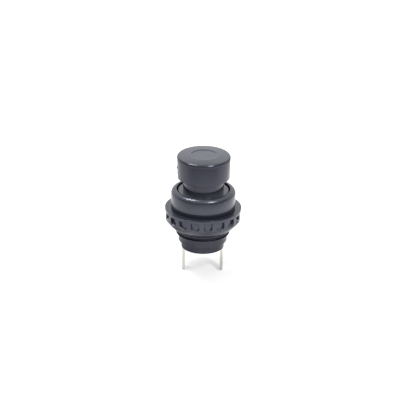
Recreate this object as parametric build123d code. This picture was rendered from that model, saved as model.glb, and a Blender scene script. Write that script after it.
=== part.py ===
from build123d import *
import math
import os

os.makedirs("parts", exist_ok=True)

# A momentary pushbutton switch for a round panel hole, standing on its two terminals.
# The axis of the button is Z, and z = 0 is at the tips of the terminals. Millimetres.

# Heights of the outer form, from the terminals' tips upwards
tab_length = 7.55
base_skirt = 2.2
tail_length = 2.6
thread_length = 9.11
bezel_height = 4.74
cap_gap = 3.7
cap_height = 6.9

# Housing
thread_diameter = 16.0
thread_chamfer = 0.1
thread_land = 0.1
relief_height = 1.15
relief_depth = 0.65
tail_step = 0.8
tail_wall = 0.8
tail_chamfer = 0.2
bezel_ledge = 1.6
bezel_wall = 1.62
bezel_inner_edge = 0.12
bezel_crest = 0.1
web_thickness = 1.2
chamber_diameter = 11.2

# Button cap
cap_diameter = 15.8
cap_draft = 0.08
cap_flare = 0.09
cap_flare_height = 0.5
cap_edge_radius = 0.6
cap_crown = 0.4
cap_top_thickness = 1.5
cap_lower_edge = 0.15
recess_diameter = 8.0
recess_depth = 0.2
recess_edge = 0.08
pry_slot_width = 2.6
pry_slot_depth = 0.7
pry_slot_height = 1.3
gate_mark_diameter = 0.7
gate_mark_height = 0.12
gate_mark_rise = 2.9

# Snap between the cap and the plunger
window_width = 2.1
window_height = 0.9
window_rise = 1.4
barb_depth = 0.7
snap_clearance = 0.05

# Plunger
neck_diameter = 12.2
flange_gap = 0.53
flange_thickness = 1.0
flange_drop = 0.4
plunger_deck = 1.8
deck_drop = 0.8
core_diameter = 9.0
skirt_diameter = 11.0
spring_room_diameter = 8.6
stem_diameter = 3.5
tip_diameter = 2.2
key_width = 1.2
key_depth = 0.5
button_travel = 2.2

# Clips on the plunger's stem
retaining_clip_diameter = 5.2
retaining_clip_thickness = 0.5
retaining_groove_diameter = 2.5
bridge_clip_diameter = 3.6
bridge_clip_thickness = 0.4
bridge_groove_diameter = 1.6
stem_end_land = 0.4

# Springs
return_wire = 0.5
return_coil_diameter = 6.0
return_turns = 6
contact_wire = 0.3
contact_coil_diameter = 3.1
contact_turns = 4
contact_spring_length = 2.6

# Contacts
contact_gap = 1.4
closed_gap = 0.02
contact_spacing = 6.8
contact_diameter = 1.8
contact_head = 0.4
rivet_shank_diameter = 1.0
rivet_tail_diameter = 1.4
rivet_tail = 0.2
bridge_length = 9.0
bridge_width = 3.0
bridge_thickness = 0.4
bridge_corner = 0.6

# Terminals and their base
tab_width = 2.8
tab_thickness = 0.8
tab_corner = 0.5
tab_hole_diameter = 1.2
tab_hole_height = 2.6
bend_radius = 0.9
leg_end_land = 1.05
base_chamfer = 0.1
base_floor = 2.45
base_wall = 1.05
tab_wall = 0.3
plug_rim = 0.2
bead_height = 0.5
bead_proud = 0.2
bead_drop = 0.7

# Ring nut
nut_height = 6.7
nut_wall = 3.1
nut_rim_lip = 0.3
nut_rim_thickness = 1.0
nut_rim_edge = 0.1
nut_body_straight = 1.7
nut_foot_wall = 0.6
nut_foot_height = 0.25
nut_foot_groove = 0.2
nut_bowl_bulge = 0.75
nut_thread_chamfer = 0.25
notch_count = 18
notch_width = 2.1
notch_height = 2.7
notch_depth = 1.0
notch_turn = -2.0

# Gasket
gasket_inset = 0.02
gasket_thickness = 1.16
gasket_edge = 0.15
gasket_bore_clearance = 0.15

# Clearances between pieces
running_clearance = 0.05
fitted_clearance = 0.03
travel_clearance = 0.3

# Heights that follow from them
tail_end_z = tab_length + base_skirt
thread_end_z = tail_end_z + tail_length
bezel_seat_z = thread_end_z + thread_length
bezel_top_z = bezel_seat_z + bezel_height
flange_top_z = bezel_top_z - flange_drop
flange_bottom_z = flange_top_z - flange_thickness
well_floor_z = flange_bottom_z - button_travel - travel_clearance
cap_bottom_z = bezel_top_z + cap_gap
cap_rim_z = cap_bottom_z + cap_height
cap_ceiling_z = cap_rim_z - cap_top_thickness
window_bottom_z = cap_bottom_z + window_rise

leg_bottom_z = tab_length + base_floor
leg_top_z = leg_bottom_z + tab_thickness
fixed_contact_z = leg_top_z + contact_head
moving_contact_z = fixed_contact_z + contact_gap + closed_gap
bridge_bottom_z = moving_contact_z + contact_head
bridge_top_z = bridge_bottom_z + bridge_thickness
bridge_clip_z = bridge_bottom_z - bridge_clip_thickness
tip_end_z = bridge_clip_z - stem_end_land
pocket_floor_z = tip_end_z - button_travel - travel_clearance
plug_top_z = bridge_top_z + plug_rim
shoulder_z = bridge_top_z + contact_spring_length
retaining_clip_z = shoulder_z + stem_end_land
web_bottom_z = retaining_clip_z + retaining_clip_thickness
web_top_z = web_bottom_z + web_thickness
skirt_bottom_z = web_top_z + button_travel + travel_clearance
spring_ceiling_z = flange_top_z - deck_drop
core_floor_z = spring_ceiling_z + plunger_deck

nut_top_z = bezel_seat_z - gasket_thickness
nut_bottom_z = nut_top_z - nut_height

# Diameters and places that follow from them
bezel_diameter = thread_diameter + 2 * bezel_ledge
bezel_shoulder = bezel_wall - bezel_inner_edge - bezel_crest
well_diameter = bezel_diameter - 2 * bezel_wall
flange_diameter = well_diameter - 2 * flange_gap
gasket_diameter = bezel_diameter - 2 * gasket_inset
nut_body_diameter = thread_diameter + 2 * nut_wall
nut_rim_diameter = nut_body_diameter + 2 * nut_rim_lip
nut_foot_diameter = thread_diameter + 2 * nut_foot_wall
guide_radius = skirt_diameter / 2 + running_clearance
tail_diameter = thread_diameter - 2 * tail_step
base_diameter = tail_diameter - 2 * (tail_wall + running_clearance)
base_radius = base_diameter / 2
socket_radius = base_radius + running_clearance
tab_outer_x = base_radius - tab_wall
tab_x = tab_outer_x - tab_thickness / 2
contact_x = contact_spacing / 2
leg_inner_x = contact_x - leg_end_land
bead_top_z = plug_top_z - bead_drop

SIDES = {"left": -1, "right": 1}
UP_FROM = (Align.CENTER, Align.CENTER, Align.MIN)


def disc(diameter, bottom_z, top_z):
    """A round plug on the axis between two heights."""
    return Pos(0, 0, bottom_z) * Cylinder(diameter / 2, top_z - bottom_z, align=UP_FROM)


def ring(outer_diameter, inner_diameter, bottom_z, top_z):
    """A plain ring on the axis between two heights."""
    return disc(outer_diameter, bottom_z, top_z) - disc(inner_diameter, bottom_z, top_z)


def block(x_from, x_to, width, bottom_z, top_z):
    """A block centred on y = 0, given by its two ends along X and its two heights."""
    size = (x_to - x_from, width, top_z - bottom_z)
    return Pos((x_from + x_to) / 2, 0, bottom_z) * Box(*size, align=UP_FROM)


def turned(*outline):
    """A solid turned about the axis from the lines and arcs of its half section."""
    return revolve(make_face(Plane.XZ * Curve(list(outline))), Axis.Z)


def circles(part, diameter, z):
    """The round edges of a part that have one diameter and lie at one height."""
    round_edges = part.edges().filter_by(GeomType.CIRCLE)
    return round_edges.filter_by(
        lambda e: math.isclose(e.radius, diameter / 2, abs_tol=1e-4)
        and math.isclose(e.arc_center.Z, z, abs_tol=1e-4)
    )


def crown_z(radius):
    """Height of the cap's crowned top at a distance from its axis."""
    edge = cap_diameter / 2 + cap_flare - cap_edge_radius
    return cap_rim_z + cap_crown * (1 - (radius / edge) ** 2)


def make_housing():
    """Bezel, threaded barrel and tail in one moulding, with the plunger's guides inside."""
    body = disc(bezel_diameter, bezel_seat_z, bezel_top_z)
    body += disc(thread_diameter, thread_end_z, bezel_seat_z)
    body += disc(tail_diameter, tail_end_z, thread_end_z)
    body -= disc(well_diameter, well_floor_z, bezel_top_z)
    body -= disc(2 * guide_radius, web_top_z, well_floor_z)
    body -= disc(stem_diameter + 2 * running_clearance, web_bottom_z, web_top_z)
    body -= disc(chamber_diameter, plug_top_z, web_bottom_z)
    body -= disc(2 * socket_radius, tail_end_z, plug_top_z)
    bead_groove = 2 * (base_radius + bead_proud + running_clearance)
    body -= disc(bead_groove, bead_top_z - bead_height - snap_clearance, bead_top_z + snap_clearance)
    key_reach = skirt_diameter / 2 + key_depth + running_clearance
    keyway = block(-key_reach, key_reach, key_width + 2 * running_clearance, web_top_z, well_floor_z)
    body -= Rot(0, 0, 90) * keyway
    body = fillet(circles(body, bezel_diameter, bezel_top_z), bezel_shoulder)
    body = fillet(circles(body, well_diameter, bezel_top_z), bezel_inner_edge)
    body = chamfer(circles(body, thread_diameter, thread_end_z), thread_chamfer)
    relief_z = thread_end_z + thread_land
    relief_diameter = thread_diameter - 2 * relief_depth
    body -= ring(thread_diameter, relief_diameter, relief_z, relief_z + relief_height)
    return chamfer(circles(body, tail_diameter, tail_end_z), tail_chamfer)


def make_button_cap():
    """Deep round cap with a flared rim, a crowned top and two snap windows."""
    foot_radius = cap_diameter / 2 - cap_draft
    wall_radius = cap_diameter / 2
    rim_radius = wall_radius + cap_flare
    rim_z = cap_rim_z - cap_edge_radius
    flat_radius = rim_radius - cap_edge_radius
    half_radius = flat_radius / 2
    bow = cap_edge_radius * math.sqrt(0.5)
    body = turned(
        Line((0, cap_bottom_z), (foot_radius, cap_bottom_z)),
        Line((foot_radius, cap_bottom_z), (wall_radius, rim_z - cap_flare_height)),
        Line((wall_radius, rim_z - cap_flare_height), (rim_radius, rim_z)),
        ThreePointArc((rim_radius, rim_z), (flat_radius + bow, rim_z + bow), (flat_radius, cap_rim_z)),
        ThreePointArc((flat_radius, cap_rim_z), (half_radius, crown_z(half_radius)), (0, crown_z(0))),
        Line((0, crown_z(0)), (0, cap_bottom_z)),
    )
    recess_top_z = crown_z(recess_diameter / 2)
    recess_z = recess_top_z - recess_depth
    body -= disc(recess_diameter, recess_z, crown_z(0) + 1)
    rims = circles(body, recess_diameter, recess_z) + circles(body, recess_diameter, recess_top_z)
    body = fillet(rims, recess_edge)
    body = fillet(circles(body, 2 * foot_radius, cap_bottom_z), cap_lower_edge)
    body -= disc(neck_diameter + 2 * running_clearance, cap_bottom_z, cap_ceiling_z)
    for side in SIDES.values():
        window = block(0, cap_diameter, window_width, window_bottom_z, window_bottom_z + window_height)
        body -= Rot(0, 0, 90 - 90 * side) * window
    slot_bottom_x = foot_radius - pry_slot_depth
    slot_top_z = cap_bottom_z + pry_slot_height
    body -= block(-cap_diameter, -slot_bottom_x, pry_slot_width, cap_bottom_z, slot_top_z)
    gate_z = cap_bottom_z + gate_mark_rise
    gate_reach = wall_radius + gate_mark_height
    gate = Pos(-gate_reach, 0, gate_z) * Rot(0, 90, 0)
    gate *= Cylinder(gate_mark_diameter / 2, pry_slot_depth + gate_mark_height, align=UP_FROM)
    return body + gate


def make_barb(side):
    """Snap wedge on the plunger's head: flat below, sloped above, so that the cap clicks on."""
    root_x = neck_diameter / 2 - snap_clearance
    nose_x = neck_diameter / 2 + barb_depth
    low_z = window_bottom_z + snap_clearance
    high_z = window_bottom_z + window_height - snap_clearance
    outline = Polyline((root_x, low_z), (nose_x, low_z), (root_x, high_z), close=True)
    wedge = extrude(Plane.XZ * make_face(outline), window_width / 2 - snap_clearance, both=True)
    return Rot(0, 0, 90 - 90 * side) * wedge


def make_plunger():
    """Head and neck, flange, keyed guide skirt and stepped stem, moulded in one."""
    body = disc(neck_diameter, flange_top_z, cap_ceiling_z)
    body += disc(flange_diameter, flange_bottom_z, flange_top_z)
    body += disc(skirt_diameter, skirt_bottom_z, flange_bottom_z)
    key_reach = skirt_diameter / 2 + key_depth
    body += Rot(0, 0, 90) * block(-key_reach, key_reach, key_width, skirt_bottom_z, flange_bottom_z)
    body -= disc(spring_room_diameter, skirt_bottom_z, spring_ceiling_z)
    body -= disc(core_diameter, core_floor_z, cap_ceiling_z)
    body += disc(stem_diameter, shoulder_z, spring_ceiling_z)
    body += disc(tip_diameter, tip_end_z, shoulder_z)
    retaining_top_z = retaining_clip_z + retaining_clip_thickness
    body -= ring(stem_diameter, retaining_groove_diameter, retaining_clip_z, retaining_top_z)
    body -= ring(tip_diameter, bridge_groove_diameter, bridge_clip_z, bridge_bottom_z)
    for side in SIDES.values():
        body += make_barb(side)
    return body


def make_clip(diameter, groove_diameter, bottom_z, thickness):
    """Spring-steel C-clip that snaps sideways into a groove of the stem."""
    bore_diameter = groove_diameter + 2 * fitted_clearance
    body = ring(diameter, bore_diameter, bottom_z, bottom_z + thickness)
    mouth = Rot(0, 0, -90) * block(0, diameter, 0.8 * groove_diameter, bottom_z, bottom_z + thickness)
    return body - mouth


def make_spring(coil_diameter, wire, turns, bottom_z, top_z):
    """Compression spring of round wire, coiled about the axis between two seats."""
    low_z = bottom_z + wire / 2 + closed_gap
    height = top_z - bottom_z - wire - 2 * closed_gap
    path = Pos(0, 0, low_z) * Helix(height / turns, height, coil_diameter / 2)
    section = Plane(origin=path @ 0, z_dir=path % 0) * Circle(wire / 2)
    return sweep(section, path)


def make_rivet(side, head_bottom_z, shank_top_z, tail_above):
    """Contact rivet: a head on one face of its strip and a closed tail on the other."""
    head = disc(contact_diameter, head_bottom_z, head_bottom_z + contact_head)
    low_z, high_z = sorted((head_bottom_z, shank_top_z))
    shank = disc(rivet_shank_diameter, low_z, high_z)
    tail_z = shank_top_z if tail_above else shank_top_z - rivet_tail
    tail = disc(rivet_tail_diameter, tail_z, tail_z + rivet_tail)
    return Pos(side * contact_x, 0, 0) * (head + shank + tail)


def make_contact_bridge():
    """Brass strip that slides on the stem's tip and carries the two moving contacts."""
    outline = RectangleRounded(bridge_length, bridge_width, bridge_corner)
    strip = Pos(0, 0, bridge_bottom_z) * extrude(outline, bridge_thickness)
    strip -= disc(tip_diameter + 2 * running_clearance, bridge_bottom_z, bridge_top_z)
    hole = disc(rivet_shank_diameter + 2 * fitted_clearance, bridge_bottom_z, bridge_top_z)
    for side in SIDES.values():
        strip -= Pos(side * contact_x, 0, 0) * hole
    return strip


def make_terminal(side):
    """Blade with a solder hole, bent inwards inside the base to carry its fixed contact."""
    blade = block(tab_outer_x - tab_thickness, tab_outer_x, tab_width, 0, leg_top_z)
    tip_edges = blade.edges().filter_by(Axis.X).group_by(Axis.Z)[0]
    blade = chamfer(tip_edges, tab_corner)
    body = blade + block(leg_inner_x, tab_outer_x, tab_width, leg_bottom_z, leg_top_z)
    bend = body.edges().filter_by(Axis.Y).filter_by(lambda e: e.center().Z > leg_top_z - 1e-4)
    body = fillet(bend.sort_by(Axis.X)[-1], bend_radius)
    hole = Cylinder(tab_hole_diameter / 2, 3 * tab_thickness)
    body -= Pos(tab_x, 0, tab_hole_height) * Rot(0, 90, 0) * hole
    rivet_hole = disc(rivet_shank_diameter + 2 * fitted_clearance, leg_bottom_z, leg_top_z)
    body -= Pos(contact_x, 0, 0) * rivet_hole
    return Rot(0, 0, 90 - 90 * side) * body


def make_terminal_base():
    """Round plug that closes the tail: slots for the terminals and a guided contact chamber."""
    body = disc(base_diameter, tab_length, plug_top_z)
    body = chamfer(circles(body, base_diameter, tab_length), base_chamfer)
    bead_diameter = base_diameter + 2 * bead_proud
    bead = disc(bead_diameter, bead_top_z - bead_height, bead_top_z)
    body += chamfer(circles(bead, bead_diameter, bead_top_z), bead_proud)
    chamber = disc(base_diameter - 2 * base_wall, leg_top_z, plug_top_z)
    guide_width = bridge_width + 2 * travel_clearance
    body -= chamber & block(-base_radius, base_radius, guide_width, leg_top_z, plug_top_z)
    body -= disc(bridge_clip_diameter + 2 * travel_clearance, pocket_floor_z, plug_top_z)
    slot_width = tab_width + 2 * fitted_clearance
    slot_inner_x = tab_outer_x - tab_thickness - fitted_clearance
    slot_outer_x = tab_outer_x + fitted_clearance
    leg_slot_inner_x = leg_inner_x - fitted_clearance
    for side in SIDES.values():
        slot = block(slot_inner_x, slot_outer_x, slot_width, tab_length, leg_bottom_z)
        slot += block(leg_slot_inner_x, slot_outer_x, slot_width, leg_bottom_z, plug_top_z)
        pocket = disc(contact_diameter, leg_bottom_z - rivet_tail - travel_clearance, leg_bottom_z)
        slot += Pos(contact_x, 0, 0) * pocket
        body -= Rot(0, 0, 90 - 90 * side) * slot
    return body


def make_notch(angle):
    """Finger notch of the nut: upright slot with a round lower end, cut in from the side."""
    top_z = nut_top_z - nut_rim_thickness
    round_z = top_z - notch_height + notch_width / 2
    floor_x = nut_body_diameter / 2 - notch_depth
    upper = block(floor_x, nut_rim_diameter, notch_width, round_z, top_z)
    lower = Rot(0, 90, 0) * Cylinder(notch_width / 2, nut_rim_diameter - floor_x, align=UP_FROM)
    return Rot(0, 0, angle) * (upper + Pos(floor_x, 0, round_z) * lower)


def make_ring_nut():
    """Moulded nut: thin rim, notched wall, bowl that draws in to a narrow foot."""
    rim_radius = nut_rim_diameter / 2
    body_radius = nut_body_diameter / 2
    foot_radius = nut_foot_diameter / 2
    rim_bottom_z = nut_top_z - nut_rim_thickness
    bowl_top_z = rim_bottom_z - nut_body_straight
    bowl_bottom_z = nut_bottom_z + nut_foot_height + nut_foot_groove
    run = body_radius - foot_radius
    drop = bowl_top_z - bowl_bottom_z
    slant = math.hypot(run, drop)
    bulge_x = (body_radius + foot_radius) / 2 + nut_bowl_bulge * drop / slant
    bulge_z = (bowl_top_z + bowl_bottom_z) / 2 - nut_bowl_bulge * run / slant
    groove_radius = foot_radius - nut_foot_groove
    groove_z = bowl_bottom_z - nut_foot_groove / 2
    foot_z = nut_bottom_z + nut_foot_height
    body = turned(
        Polyline((0, nut_top_z), (rim_radius, nut_top_z), (rim_radius, rim_bottom_z)),
        Polyline((rim_radius, rim_bottom_z), (body_radius, rim_bottom_z), (body_radius, bowl_top_z)),
        ThreePointArc((body_radius, bowl_top_z), (bulge_x, bulge_z), (foot_radius, bowl_bottom_z)),
        Polyline((foot_radius, bowl_bottom_z), (groove_radius, groove_z), (foot_radius, foot_z)),
        Polyline((foot_radius, foot_z), (foot_radius, nut_bottom_z), (0, nut_bottom_z), (0, nut_top_z)),
    )
    body = fillet(circles(body, nut_rim_diameter, nut_top_z), nut_rim_edge)
    bore_diameter = thread_diameter + 2 * running_clearance
    body -= disc(bore_diameter, nut_bottom_z, nut_top_z)
    body = chamfer(circles(body, bore_diameter, nut_top_z), nut_thread_chamfer)
    for step in range(notch_count):
        body -= make_notch(notch_turn + step * 360 / notch_count)
    return body


def make_panel_gasket():
    """Flat rubber washer under the bezel, loose enough to slide over the thread."""
    bore_diameter = thread_diameter + 2 * gasket_bore_clearance
    body = ring(gasket_diameter, bore_diameter, nut_top_z, bezel_seat_z)
    rims = circles(body, gasket_diameter, nut_top_z) + circles(body, gasket_diameter, bezel_seat_z)
    return fillet(rims, gasket_edge)


nodes = {
    "housing": make_housing(),
    "button_cap": make_button_cap(),
    "plunger": make_plunger(),
    "retaining_clip": make_clip(
        retaining_clip_diameter, retaining_groove_diameter, retaining_clip_z, retaining_clip_thickness
    ),
    "bridge_clip": make_clip(
        bridge_clip_diameter, bridge_groove_diameter, bridge_clip_z, bridge_clip_thickness
    ),
    "return_spring": make_spring(
        return_coil_diameter, return_wire, return_turns, web_top_z, spring_ceiling_z
    ),
    "contact_spring": make_spring(
        contact_coil_diameter, contact_wire, contact_turns, bridge_top_z, shoulder_z
    ),
    "contact_bridge": make_contact_bridge(),
    "terminal_base": make_terminal_base(),
    "ring_nut": make_ring_nut(),
    "panel_gasket": make_panel_gasket(),
}
for name, side in SIDES.items():
    nodes[f"terminal_{name}"] = make_terminal(side)
    nodes[f"fixed_contact_{name}"] = make_rivet(side, leg_top_z, leg_bottom_z, tail_above=False)
    nodes[f"moving_contact_{name}"] = make_rivet(side, moving_contact_z, bridge_top_z, tail_above=True)

for name, node in nodes.items():
    export_step(node, f"parts/{name}.step")
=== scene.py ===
import math

import bmesh
import bpy
import numpy as np
from mathutils import Matrix, Vector


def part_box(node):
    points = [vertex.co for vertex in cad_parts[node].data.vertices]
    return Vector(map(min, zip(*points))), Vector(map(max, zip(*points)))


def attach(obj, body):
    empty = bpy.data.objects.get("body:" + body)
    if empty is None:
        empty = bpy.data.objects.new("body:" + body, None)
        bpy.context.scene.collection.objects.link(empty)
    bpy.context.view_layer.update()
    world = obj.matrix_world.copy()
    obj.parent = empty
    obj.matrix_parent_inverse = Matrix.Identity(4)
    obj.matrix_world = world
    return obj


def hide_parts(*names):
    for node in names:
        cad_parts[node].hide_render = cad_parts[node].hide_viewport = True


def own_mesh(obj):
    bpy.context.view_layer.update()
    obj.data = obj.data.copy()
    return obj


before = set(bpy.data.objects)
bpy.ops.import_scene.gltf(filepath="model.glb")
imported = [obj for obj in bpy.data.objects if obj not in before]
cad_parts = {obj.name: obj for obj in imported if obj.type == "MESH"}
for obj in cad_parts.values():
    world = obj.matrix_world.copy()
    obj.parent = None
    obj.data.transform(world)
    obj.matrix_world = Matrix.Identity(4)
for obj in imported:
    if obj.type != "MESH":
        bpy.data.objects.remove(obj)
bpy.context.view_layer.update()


# Housing: one moulding of charcoal glass-filled nylon. A wide bezel rests on the panel, and the
# barrel below it carries an M16 x 1 thread for the ring nut. The thread runs out into a relief
# groove above a thin land, and a plain tail ends the barrel.
MM = 0.001


class Value:
    """A number that varies over a surface. Arithmetic on it adds Math nodes."""

    def __init__(self, nodes, socket):
        self.nodes = nodes
        self.socket = socket

    def math(self, operation, first, second):
        """Adds one Math node."""
        return self.nodes.node("Math", {"operation": operation}, {0: first, 1: second})

    def __add__(self, other):
        return self.math("ADD", self, other)

    def __sub__(self, other):
        return self.math("SUBTRACT", self, other)

    def __rsub__(self, other):
        return self.math("SUBTRACT", other, self)

    def __mul__(self, other):
        return self.math("MULTIPLY", self, other)

    __radd__ = __add__
    __rmul__ = __mul__


class Nodes:
    """The nodes of one material or of the sky."""

    def __init__(self, tree):
        self.tree = tree

    def set(self, node, sockets):
        """Gives each socket, by name or number, its value or its link."""
        for key, value in sockets.items():
            if isinstance(value, Value):
                self.tree.links.new(value.socket, node.inputs[key])
            else:
                node.inputs[key].default_value = value

    def node(self, kind, settings, sockets, output=0):
        """Adds a node of a kind with its settings and sockets, and returns one output."""
        node = self.tree.nodes.new("ShaderNode" + kind)
        for key, value in settings.items():
            setattr(node, key, value)
        self.set(node, sockets)
        return Value(self, node.outputs[output])

    def axis(self, vector, name):
        """The X, Y or Z of a vector."""
        return self.node("SeparateXYZ", {}, {"Vector": vector}, name)

    def length(self, vector):
        """How long a vector is."""
        return self.node("VectorMath", {"operation": "LENGTH"}, {0: vector}, "Value")

    def ramp(self, value, low, high, at_low=0, at_high=1):
        """Eases from one number to another as a value goes from low to high."""
        return self.node("MapRange", {"interpolation_type": "SMOOTHSTEP"}, {
            "Value": value, "From Min": low, "From Max": high, "To Min": at_low, "To Max": at_high,
        })

    def band(self, value, rise, fall):
        """Eases from 0 to 1 over the rise, and back to 0 over the fall. Each is (low, high)."""
        return self.ramp(value, *rise) * self.ramp(value, *fall, 1, 0)


class Finish(Nodes):
    """A procedural material, built up round one Principled shader."""

    def __init__(self, name, constants):
        self.material = bpy.data.materials.new(name)
        self.material.use_nodes = True
        super().__init__(self.material.node_tree)
        self.shader = self.tree.nodes["Principled BSDF"]
        self.set(self.shader, constants)

    def place(self):
        """The point on the object, in metres, that patterns are laid out on."""
        return self.node("TexCoord", {}, {}, "Object")

    def height(self):
        """The height above the floor, in metres."""
        return self.axis(self.place(), "Z")

    def noise(self, grain, detail, stretch=(1, 1, 1)):
        """Cloudy values about 0.5 whose grain is a length in metres."""
        scaled = self.node("Mapping", {}, {"Vector": self.place(), "Scale": stretch})
        return self.node("TexNoise", {}, {"Vector": scaled, "Scale": 1 / grain, "Detail": detail})

    def blend(self, amount, first, second):
        """One colour changed into another by a varying amount."""
        return self.node("Mix", {"data_type": "RGBA"}, {0: amount, 6: first, 7: second}, 2)

    def bump(self, height, depth):
        """Relief of a depth in metres on the shader's normal."""
        raised = self.node("Bump", {}, {"Strength": 1.0, "Distance": depth, "Height": height})
        self.set(self.shader, {"Normal": raised})


def shade(colour, amount=1):
    """A colour times an amount, made opaque."""
    return (*[channel * amount for channel in colour], 1)


def moulded_plastic(name, colour, roughness, ior=1.65, painted_light=None, dull=None):
    """Charcoal moulding: spark-eroded grain, flow clouds in the colour and faint handling marks.
    The pigment is nearly black, and the grey comes from the polished skin of the moulding. Where
    the mask of painted light is 1, the skin is painted paler in a scuff-like pattern, standing in
    for light and shade, and where the dull value is 1, the mould was left unpolished."""
    painted_light_skin = shade((0.103, 0.108, 0.13))
    finish = Finish(name, {"IOR": ior, "Specular Tint": (0.80, 0.82, 1.0, 1)})
    clouds = finish.noise(grain=0.006, detail=2)
    grain = finish.noise(grain=0.00016, detail=3)
    marks = finish.noise(grain=0.0022, detail=4, stretch=(1, 1, 2.5))
    skin = finish.blend(clouds * 0.7 + grain * 0.3, shade(colour, 0.86), shade(colour, 1.16))
    gloss = roughness - 0.06 + marks * 0.08 + grain * 0.04
    # Painted light: the skin turns paler where the painted light mask is high.
    if painted_light:
        painted_share = painted_light(finish) * (0.5 + marks)
        skin = finish.blend(painted_share, skin, painted_light_skin)
        gloss = gloss + painted_share * 0.08
    if dull:
        gloss = gloss + dull(finish) * 0.4
    finish.set(finish.shader, {"Base Color": skin, "Roughness": gloss})
    finish.bump(grain + clouds * 0.5, depth=0.000004)
    return finish.material


def rounded_outline(corners, steps=6):
    """Closed half section from (radius, height, rounding) corners. Each rounding is an arc tangent
    to both sides: its centre lies on the corner's bisector, at the rounding over the sine of the
    half angle. Returns rows of (radius, height)."""
    corners = np.array(corners, float)
    rows = []
    for before, here, after in zip(np.roll(corners, 1, 0), corners, np.roll(corners, -1, 0)):
        point, rounding = here[:2], here[2]
        if rounding == 0:
            rows.append(point[None])
            continue
        back = (before[:2] - point) / np.linalg.norm(before[:2] - point)
        on = (after[:2] - point) / np.linalg.norm(after[:2] - point)
        half = np.arccos(np.clip(back @ on, -1, 1)) / 2
        centre = point + (back + on) / np.linalg.norm(back + on) * rounding / np.sin(half)
        start = point + back * rounding / np.tan(half) - centre
        end = point + on * rounding / np.tan(half) - centre
        share = np.linspace(0, 1, steps + 1)[:, None]
        swing = np.pi - 2 * half
        arc = (np.sin((1 - share) * swing) * start + np.sin(share * swing) * end) / np.sin(swing)
        rows.append(centre + arc)
    return np.concatenate(rows)


def upright(radius, heights):
    """Rows of (radius, height) at one radius."""
    return np.stack([np.full(len(heights), radius), heights], axis=1)


def stand(name, data):
    """Puts a mesh, a lamp or a camera in the scene."""
    thing = bpy.data.objects.new(name, data)
    bpy.context.scene.collection.objects.link(thing)
    return thing


def quads(rows, columns, wrap):
    """The four corners of each face of a grid that closes on itself along the axes in wrap."""
    index = np.arange(rows * columns).reshape(rows, columns)
    index = np.pad(index, [(0, int(axis in wrap)) for axis in (0, 1)], mode="wrap")
    corners = [index[:-1, :-1], index[:-1, 1:], index[1:, 1:], index[1:, :-1]]
    return np.stack(corners, axis=-1).reshape(-1, 4).tolist()


def placed(name, mesh, material, sharp):
    """Joins coincident points, turns the faces outward, smooths all but sharp edges and puts the
    mesh in the scene."""
    shape = bmesh.new()
    shape.from_mesh(mesh)
    bmesh.ops.remove_doubles(shape, verts=shape.verts, dist=1e-7)
    bmesh.ops.recalc_face_normals(shape, faces=shape.faces)
    shape.to_mesh(mesh)
    shape.free()
    mesh.shade_smooth()
    mesh.set_sharp_from_angle(angle=math.radians(sharp))
    mesh.materials.append(material)
    return stand(name, mesh)


def shell(name, radius, angle, height, material, painted_light=None):
    """Closed turned skin, from millimetres. Row by row the outline runs once round the half
    section, column by column the angle runs once round the axis: x = radius cos angle, y = radius
    sin angle."""
    points = np.stack([radius * np.cos(angle), radius * np.sin(angle), height], axis=-1) * MM
    mesh = bpy.data.meshes.new(name)
    mesh.from_pydata(points.reshape(-1, 3), [], quads(*radius.shape, wrap=(0, 1)))
    # A painted light share, if given, is kept on the mesh as a point attribute.
    if painted_light is not None:
        mesh.attributes.new("painted_light", "FLOAT", "POINT").data.foreach_set("value", painted_light.ravel())
    return placed(name, mesh, material, sharp=32)


def ridges(angle, height, pitch, crest_share=0.2, root_share=0.16):
    """Depth share, 0 on a crest and 1 in a root, of a right-hand thread: the turn rises by one
    pitch as the angle goes once round, and its flanks are straight."""
    turn = (height / pitch - angle / (2 * np.pi)) % 1
    away = np.abs(2 * turn - 1)
    return np.clip((away - crest_share) / (1 - crest_share - root_share), 0, 1)


housing_low, housing_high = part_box("housing")
bezel_radius = housing_high.x / MM
bezel_top = housing_high.z / MM
bezel_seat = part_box("panel_gasket")[1].z / MM
shoulder_rounding = 1.4
barrel_radius = 8.0
tail_radius = 7.2
tail_end = housing_low.z / MM
thread_end = tail_end + 2.5
thread_pitch = 1.0
thread_depth = 0.52
thread_run_out = 0.8
thread_lead_in = 0.4
land_radius = barrel_radius - 0.05
land_top = thread_end + 0.1
relief_top = thread_end + 1.35
relief_radius = 7.35
well_radius = 7.98
well_floor = 22.3
guide_radius = 5.55
web_top, web_bottom = 18.12, 16.92
stem_bore = 1.8
chamber_radius = 5.6
plug_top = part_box("terminal_base")[1].z / MM
socket_radius = 6.4
thread_row_count = 190
barrel_columns = 192


def bezel_painted_light(finish):
    """Painted light: a paler skin on the bezel and none on the barrel below it, so that the barrel
    and tail look shaded by the nut.
    """
    return finish.ramp(
        finish.height(), bezel_seat * MM, (bezel_seat + 0.5) * MM, at_low=0, at_high=0.17)


def unpolished_relief(finish):
    """1 in the relief groove and the thread's lead-in above it."""
    return finish.band(
        finish.height(), rise=(land_top * MM, (land_top + 0.1) * MM),
        fall=((relief_top + 0.3) * MM, (relief_top + 0.6) * MM))


# The housing's skin is painted paler on the bezel than on the barrel, as painted light and shade.
charcoal = moulded_plastic(
    "charcoal_housing", colour=(0.0115, 0.0125, 0.0185), roughness=0.25, painted_light=bezel_painted_light,
    dull=unpolished_relief)

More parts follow.
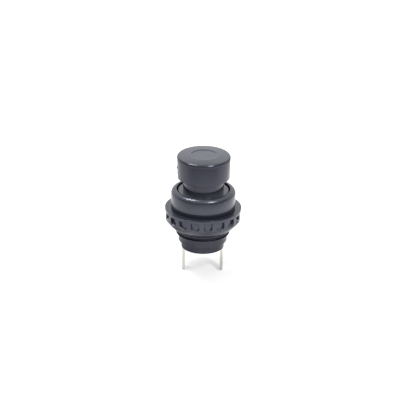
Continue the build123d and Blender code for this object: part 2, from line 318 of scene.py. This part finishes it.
outline = rounded_outline([
    (socket_radius, tail_end, 0.1), (tail_radius, tail_end, 0.2),
    (tail_radius, thread_end, 0.1), (land_radius, thread_end, 0.05),
    (land_radius, land_top, 0.05), (relief_radius, land_top, 0.1),
    (relief_radius, relief_top, 0.1), (barrel_radius, relief_top, 0),
    (barrel_radius, bezel_seat, 0), (bezel_radius, bezel_seat, 0.06),
    (bezel_radius, bezel_top, shoulder_rounding), (well_radius, bezel_top, 0.12),
    (well_radius, well_floor, 0.2), (guide_radius, well_floor, 0.1),
    (guide_radius, web_top, 0.2), (stem_bore, web_top, 0.1),
    (stem_bore, web_bottom, 0.1), (chamber_radius, web_bottom, 0.2),
    (chamber_radius, plug_top, 0), (socket_radius, plug_top, 0),
])
on_barrel = np.flatnonzero(np.isclose(outline[:, 0], barrel_radius))
outline = np.concatenate([
    outline[:on_barrel[0]],
    upright(barrel_radius, np.linspace(relief_top, bezel_seat, thread_row_count)),
    outline[on_barrel[-1] + 1:],
])
columns = np.linspace(0, 2 * np.pi, barrel_columns, endpoint=False)
angle, height = np.meshgrid(columns, outline[:, 1])
radius = np.repeat(outline[:, :1], barrel_columns, axis=1)
threaded = np.isclose(radius, barrel_radius)
fade = np.clip((bezel_seat - thread_run_out - height) / thread_run_out, 0, 1)
cut = radius - ridges(angle, height, thread_pitch) * thread_depth * fade
lead_in = barrel_radius - np.clip(thread_lead_in - (height - relief_top), 0, None)
radius = np.where(threaded, np.minimum(cut, lead_in), radius)
barrel = shell("threaded_housing", radius, angle, height, charcoal)
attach(barrel, "housing")
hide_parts("housing")


# Plunger: a charcoal moulding that slides in the housing. Its neck carries the cap, its flange
# fills the bezel's well, and its stem reaches down through the springs to the contact bridge.
# How far above the bezel's top the painted light round the neck fades out, in millimetres.
painted_light_height = 1.2


def dress(node, material):
    """Gives a piece that keeps its CAD shape its material."""
    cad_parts[node].material_slots[0].material = material


def neck_foot_painted_light(finish):
    """Painted light: a paler skin round the foot of the neck and on the flange, where the well lies
    in shade, and none higher up.
    """
    return finish.ramp(
        finish.height(), bezel_top * MM, (bezel_top + painted_light_height) * MM, at_low=0.35, at_high=0)


dress("plunger", moulded_plastic(
    "charcoal_plunger", colour=(0.0125, 0.0135, 0.0205), roughness=0.2, painted_light=neck_foot_painted_light))


# Button cap: a deep charcoal cup, clicked on to the plunger's neck. Its crowned top has a shallow
# round recess, its rim is slightly flared, and a pry slot runs up its left side.
crown_rise = 0.3
cap_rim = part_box("button_cap")[1].z / MM - crown_rise
recess_radius = 4.01
recess_floor_radius = 3.6
# Where the crown's painted paler skin starts and reaches its full share along Y, in millimetres.
painted_light_start, painted_light_full = -7.6, -3.5


def crown_painted_light(finish):
    """Painted light on the crown: a paler skin in a scuff-like pattern, weaker near its front and a
    little stronger in the recess, and a painted highlight ring round the recess's edge. It is 0
    below the cap's rim."""
    point = finish.place()
    flat = finish.node("VectorMath", {"operation": "MULTIPLY"}, {0: point, 1: (1, 1, 0)})
    radius = finish.length(flat)
    painted_ring_highlight = finish.band(
        radius, rise=((recess_radius - 0.19) * MM, (recess_radius - 0.03) * MM),
        fall=((recess_radius + 0.03) * MM, (recess_radius + 0.19) * MM))
    recess = finish.ramp(
        radius, recess_floor_radius * MM, (recess_radius - 0.01) * MM, at_low=0.08, at_high=0)
    paler_to_back = finish.ramp(
        finish.axis(point, "Y"), painted_light_start * MM, painted_light_full * MM, at_low=0.06, at_high=0.3)
    crown = finish.ramp(finish.axis(point, "Z"), (cap_rim - 0.1) * MM, cap_rim * MM)
    return crown * (paler_to_back + painted_ring_highlight * 0.9 + recess)


def unpolished_band(finish):
    """1 on the narrow band just under the rim, where the two halves of the mould met."""
    return finish.band(
        finish.height(), rise=((cap_rim - 1.6) * MM, (cap_rim - 0.7) * MM),
        fall=((cap_rim - 0.5) * MM, (cap_rim - 0.3) * MM))


dress("button_cap", moulded_plastic(
    "charcoal_cap", colour=(0.0115, 0.0125, 0.0195), roughness=0.2, painted_light=crown_painted_light,
    dull=unpolished_band))


# Base: a round plug of dark phenolic, pressed into the tail and held by a bead. Its slots grip the
# two terminals, and its pockets leave room for the contacts and for the plunger's tip.
dress("terminal_base", moulded_plastic(
    "phenolic_base", colour=(0.0115, 0.0125, 0.0185), roughness=0.28, ior=1.58))


# Terminals: two tin-plated brass blades, blanked from rolled strip, with a solder hole near each
# tip. They are pushed up through the base, and their upper ends are bent inwards.
def rolled_metal(name, colour, roughness, stretch):
    """Rolled strip: faint lines along the rolling direction in its gloss and its relief."""
    finish = Finish(name, {"Metallic": 1.0})
    lines = finish.noise(grain=0.00012, detail=2, stretch=stretch)
    clouds = finish.noise(grain=0.002, detail=2)
    finish.set(finish.shader, {
        "Base Color": finish.blend(clouds, shade(colour, 0.88), shade(colour)),
        "Roughness": roughness + lines * 0.12 + clouds * 0.08,
    })
    finish.bump(lines, depth=0.000003)
    return finish.material


tinned = rolled_metal("tinned_brass", (0.78, 0.765, 0.71), 0.2, stretch=(1, 1, 0.08))
for side in ("left", "right"):
    dress("terminal_" + side, tinned)


# Contacts, bridge, clips and springs, all inside the housing. Silver rivets are headed into the
# terminals and into a brass bridge. Two clips and two coils of spring steel hold and return the
# plunger and press the bridge on its contacts.
silver = rolled_metal("contact_silver", (0.86, 0.85, 0.82), 0.25, stretch=(1, 1, 1))
brass = rolled_metal("bridge_brass", (0.78, 0.58, 0.28), 0.25, stretch=(0.08, 1, 1))
spring_steel = rolled_metal("spring_steel", (0.56, 0.57, 0.59), 0.22, stretch=(1, 1, 1))
inner_metals = {
    "fixed_contact_left": silver, "fixed_contact_right": silver,
    "moving_contact_left": silver, "moving_contact_right": silver,
    "contact_bridge": brass,
    "retaining_clip": spring_steel, "bridge_clip": spring_steel,
}
for node, metal in inner_metals.items():
    dress(node, metal)


def coil(name, node, wire, turns, steps_per_turn=28, sides=12):
    """Closed skin of a round wire, wound in a CAD node's box. Its centre runs r cos a, r sin a and
    rises evenly with the angle a. The section, square to the wire, is a circle between the outward
    direction and the one across it. Returns the piece, its foot and its head."""
    low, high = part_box(node)
    coil_radius = high.x - wire / 2
    turn = np.linspace(0, 2 * np.pi * turns, turns * steps_per_turn + 1)[:, None, None]
    rise = (high.z - low.z - wire) / (2 * np.pi * turns)
    outward = np.concatenate([np.cos(turn), np.sin(turn), 0 * turn], axis=2)
    ahead = np.concatenate([-np.sin(turn), np.cos(turn), 0 * turn + rise / coil_radius], axis=2)
    across = np.cross(ahead / np.linalg.norm(ahead, axis=2, keepdims=True), outward)
    centre = outward * coil_radius + np.array([0, 0, 1]) * (low.z + wire / 2 + rise * turn)
    section = np.linspace(0, 2 * np.pi, sides, endpoint=False)[None, :, None]
    points = centre + (np.cos(section) * outward + np.sin(section) * across) * wire / 2
    first_end = list(range(sides))
    last_end = [(len(turn) - 1) * sides + side for side in range(sides)]
    mesh = bpy.data.meshes.new(name)
    mesh.from_pydata(
        points.reshape(-1, 3), [], quads(len(turn), sides, wrap=(1,)) + [first_end, last_end])
    wound = placed(name, mesh, spring_steel, sharp=50)
    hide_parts(node)
    return wound, low.z, high.z


wound, foot, head = coil("return_coil", "return_spring", wire=0.0005, turns=6)
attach(wound, "housing")
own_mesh(wound)
wound, foot, head = coil("contact_coil", "contact_spring", wire=0.0003, turns=4)
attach(wound, "button")
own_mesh(wound)


# Gasket: a flat washer of black nitrile rubber, cut from moulded sheet and slipped over the barrel.
# It seals the bezel to the panel.
def soft_rubber(name, bare, bloomed):
    """Black rubber: dull, with a talc bloom in clouds and a fine moulded grain."""
    finish = Finish(name, {
        "IOR": 1.5, "Specular IOR Level": 0.25, "Specular Tint": (0.8, 0.84, 1.0, 1),
    })
    bloom = finish.noise(grain=0.0015, detail=4)
    finish.set(finish.shader, {
        "Base Color": finish.blend(bloom, shade(bare), shade(bloomed)),
        "Roughness": 0.4 + bloom * 0.2,
    })
    finish.bump(finish.noise(grain=0.0001, detail=2), depth=0.000008)
    return finish.material


dress("panel_gasket", soft_rubber(
    "nitrile_rubber", bare=(0.0092, 0.0108, 0.0175), bloomed=(0.0168, 0.019, 0.030)))


# Ring nut: moulded in charcoal nylon with a thin rim, eighteen finger notches with round lower
# ends, and a bowl that draws in to a groove above its narrow foot. Its bore has the barrel's
# thread, and it clamps the panel against the gasket.
nut_low, nut_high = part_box("ring_nut")
foot_lift = 0.03
nut_top, nut_bottom = nut_high.z / MM, nut_low.z / MM + foot_lift
rim_radius = nut_high.x / MM
rim_height = 1.0
rim_bottom = nut_top - rim_height
rim_overhang = 0.22
body_radius = rim_radius - rim_overhang
foot_radius = 8.6
foot_height = 0.24
foot_groove_height = 0.1
foot_groove_depth = 0.15
bore_radius = 8.05
bore_chamfer = 0.25
groove_depth = 0.4
notch_count = 18
notch_turn = math.radians(-2.0)
notch_columns = 39
half_notch_columns = 13
column_step = 2 * np.pi / (notch_columns * notch_count)
notch_half_width = body_radius * math.sin(half_notch_columns * column_step)
notch_height = 2.6
notch_depth = 0.82
flank_run = body_radius * column_step
end_run = 0.4
bowl_top = rim_bottom - notch_height
bowl_bottom = nut_bottom + foot_height + foot_groove_height
bulge = 0.15
bore_row_count, wall_row_count, bowl_row_count = 64, 30, 21


def into_notch(angle, height):
    """Share of the nearest notch's depth, the angle off its middle, and how much of the way from
    the side to the lower end. A notch is the set of points within a half width of an upright line,
    with a round lower end. It deepens evenly, over the flank's run at the sides and over the longer
    end run at the bottom."""
    step = 2 * np.pi / notch_count
    off = (angle - notch_turn + step / 2) % step - step / 2
    across = body_radius * np.abs(np.sin(off))
    below = np.clip(rim_bottom - notch_height + notch_half_width - height, 0, None)
    from_line = np.hypot(across, below)
    down = (below / np.maximum(from_line, 0.01)) ** 2
    run = flank_run + (end_run - flank_run) * down
    return (notch_half_width - from_line) / run, off, down


def notched(radius, share, off):
    """Radius of the wall with its finger notches: by its share of the depth, each point moves from
    the wall to a flat floor square to the notch's middle."""
    floor = (body_radius - notch_depth) / np.cos(off)
    return radius - np.clip(share, 0, 1) * np.clip(radius - floor, 0, None)


def notch_painted_light_share(share, down):
    """Painted light: a paler skin fading either side of the notches' edges, which paints their edge
    highlights, and covering their round lower ends, which lightens the shade there.
    """
    return 0.15 * np.exp(-(share / 0.3) ** 2) + 0.9 * down * ((share > 0) & (share < 1.3))


drop, run = bowl_top - bowl_bottom, body_radius - foot_radius
bowl_share = np.linspace(0, 1, bowl_row_count + 1)[1:]
sag = 4 * bulge * bowl_share * (1 - bowl_share) / math.hypot(drop, run)
bowl_rows = np.stack([
    body_radius - run * bowl_share + drop * sag,
    bowl_top - drop * bowl_share - run * sag,
], axis=1)
wall_rows = upright(body_radius, np.linspace(rim_bottom, bowl_top, wall_row_count))
bore_rows = upright(
    bore_radius, np.linspace(nut_bottom + 0.02, nut_top - bore_chamfer, bore_row_count))
rim_rows = rounded_outline([
    (bore_radius + bore_chamfer, nut_top, 0), (rim_radius, nut_top, 0.1),
    (rim_radius, rim_bottom, 0.1),
], steps=4)
foot_rows = np.array([
    (foot_radius - foot_groove_depth, bowl_bottom - 0.06),
    (foot_radius, nut_bottom + foot_height), (foot_radius, nut_bottom + 0.05),
    (foot_radius - 0.05, nut_bottom), (bore_radius, nut_bottom),
])
nut_outline = np.concatenate([bore_rows, rim_rows, wall_rows, bowl_rows, foot_rows])
columns = notch_turn + column_step * np.arange(notch_columns * notch_count)
angle, height = np.meshgrid(columns, nut_outline[:, 1])
radius = np.repeat(nut_outline[:, :1], len(columns), axis=1)
bore = slice(0, len(bore_rows))
wall = slice(len(bore_rows) + len(rim_rows), -len(foot_rows))
share, off, down = into_notch(angle[wall], height[wall])
# The painted light share round the notches, kept on the mesh for the nut's material.
notch_light_share = np.zeros_like(radius)
notch_light_share[wall] = notch_painted_light_share(share, down)
radius[wall] = notched(radius[wall], share, off)
radius[bore] += groove_depth * (1 - ridges(angle[bore], height[bore], thread_pitch))


def notch_painted_light(finish):
    """The painted light kept on the mesh, along the notches' edges and over their lower ends."""
    return finish.node("Attribute", {"attribute_name": "painted_light"}, {}, "Fac")


charcoal_nut = moulded_plastic(
    "charcoal_nut", colour=(0.017, 0.0182, 0.027), roughness=0.2, painted_light=notch_painted_light)
nut = shell("notched_nut", radius, angle, height, charcoal_nut, painted_light=notch_light_share)
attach(nut, "nut")
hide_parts("ring_nut")


# Studio: a white floor under a soft sky that is dim low in front. A long soft box hangs overhead on
# the left, and a small one stands in front on the right. In the switch's gloss, the floor shows
# painted light: a glowing ring that is weaker on the left as a painted shadow, and painted shade
# near the left side and far out in front.
floor_half = 3.0
floor_mesh = bpy.data.meshes.new("floor")
corner = np.array([(-1, -1, 0), (1, -1, 0), (1, 1, 0), (-1, 1, 0)]) * floor_half
floor_mesh.from_pydata(corner, [], [(0, 1, 2, 3)])
floor = stand("floor", floor_mesh)
paper = Finish("white_paper", {
    "Roughness": 0.9, "Specular IOR Level": 0, "Emission Strength": 1.0,
})
# The dim colour is the floor's painted shade, seen only in the gloss.
pale, dim = shade((0.57, 0.57, 0.575)), shade((0.1, 0.1, 0.105))
black, white = shade((0, 0, 0)), shade((1, 1, 1))
glow = 0.388
seen = paper.node("LightPath", {}, {}, "Is Camera Ray")
mirrored = paper.node("LightPath", {}, {}, "Is Glossy Ray")
place = paper.place()
away = paper.length(place)
rightward, backward = paper.axis(place, "X"), paper.axis(place, "Y")
# Painted light: in the gloss only, the floor glows in a ring round the switch, weaker on the left
# as a painted shadow.
painted_glow_ring = paper.ramp(away, 0.02, 0.06, 0.08, 0.95) * paper.ramp(away, 0.058, 0.092, 1, 0)
painted_glow_ring = painted_glow_ring * (1 - paper.ramp(rightward, -0.06, 0, 0.5, 0) * paper.ramp(away, 0.034, 0.05))
# Painted shade: in the gloss only, the floor is darker near the switch's left side and far out in
# front.
left = paper.ramp(rightward, -0.016, -0.005, 1, 0) * paper.ramp(away, 0.019, 0.027, 1, 0)
far = paper.ramp(away, 0.074, 0.094) * paper.ramp(backward, -0.06, -0.02, 1, 0)
paper.set(paper.shader, {
    "Base Color": paper.blend(mirrored * (far + left), pale, dim),
    "Emission Color": paper.blend(seen * glow + mirrored * painted_glow_ring, black, white),
})
floor_mesh.materials.append(paper.material)

scene = bpy.context.scene
scene.view_settings.view_transform = "Standard"
world = bpy.data.worlds.new("white_sky")
scene.world = world
world.use_nodes = True
sky = Nodes(world.node_tree)
direction = sky.node("TexCoord", {}, {}, "Generated")
back, up = sky.axis(direction, "Y"), sky.axis(direction, "Z")
front_sky = sky.ramp(up, 0.3, 0.75, 0.2, 1.1)
back_sky = 1.05
behind = sky.ramp(back, -0.1, 0.5) * sky.ramp(up, 0.6, 0.9, 1, 0)
soft_sky = front_sky * (1 - behind) + behind * back_sky
sky_seen = sky.node("LightPath", {}, {}, "Is Camera Ray")
background = world.node_tree.nodes["Background"]
sky.set(background, {"Color": white, "Strength": soft_sky * (1 - sky_seen) + sky_seen})


def soft_box(name, start, end, width, power, distance=0.6):
    """A lamp that faces the switch. It spans the arc between two directions, and has a width across
    them in metres. Its own X axis runs along the arc, and its Z axis away from the switch."""
    start, end = Vector(start).normalized(), Vector(end).normalized()
    outward = (start + end).normalized()
    along = (end - start).normalized()
    across = outward.cross(along)
    lamp = bpy.data.lights.new(name, "AREA")
    lamp.shape = "RECTANGLE"
    lamp.size = distance * (end - start).length
    lamp.size_y = width
    lamp.energy = power
    turned = Matrix((along, across, outward)).transposed().to_4x4()
    turned.translation = outward * distance
    stand(name, lamp).matrix_world = turned


soft_box("long_box", (-0.27, 0.006, 0.96), (-0.52, 0.15, 0.84), width=0.065, power=2.1)
soft_box("small_box", (0.35, -0.66, 0.67), (0.46, -0.53, 0.71), width=0.14, power=1.95)

elevation = math.radians(23.6)
distance = 0.9
aim = 0.019
sideways = -0.00093
roll = math.radians(0.8)
camera_data = bpy.data.cameras.new("camera")
camera_data.sensor_width = 36
camera_data.lens = 271.566
camera_data.clip_start = 0.05
camera_data.clip_end = 20
camera_data.shift_y = 0.0259
camera = stand("camera", camera_data)
camera.location = (sideways, -distance * math.cos(elevation), aim + distance * math.sin(elevation))
camera.rotation_euler = (math.pi / 2 - elevation, 0, 0)
camera.rotation_euler.rotate_axis("Z", roll)
scene.camera = camera
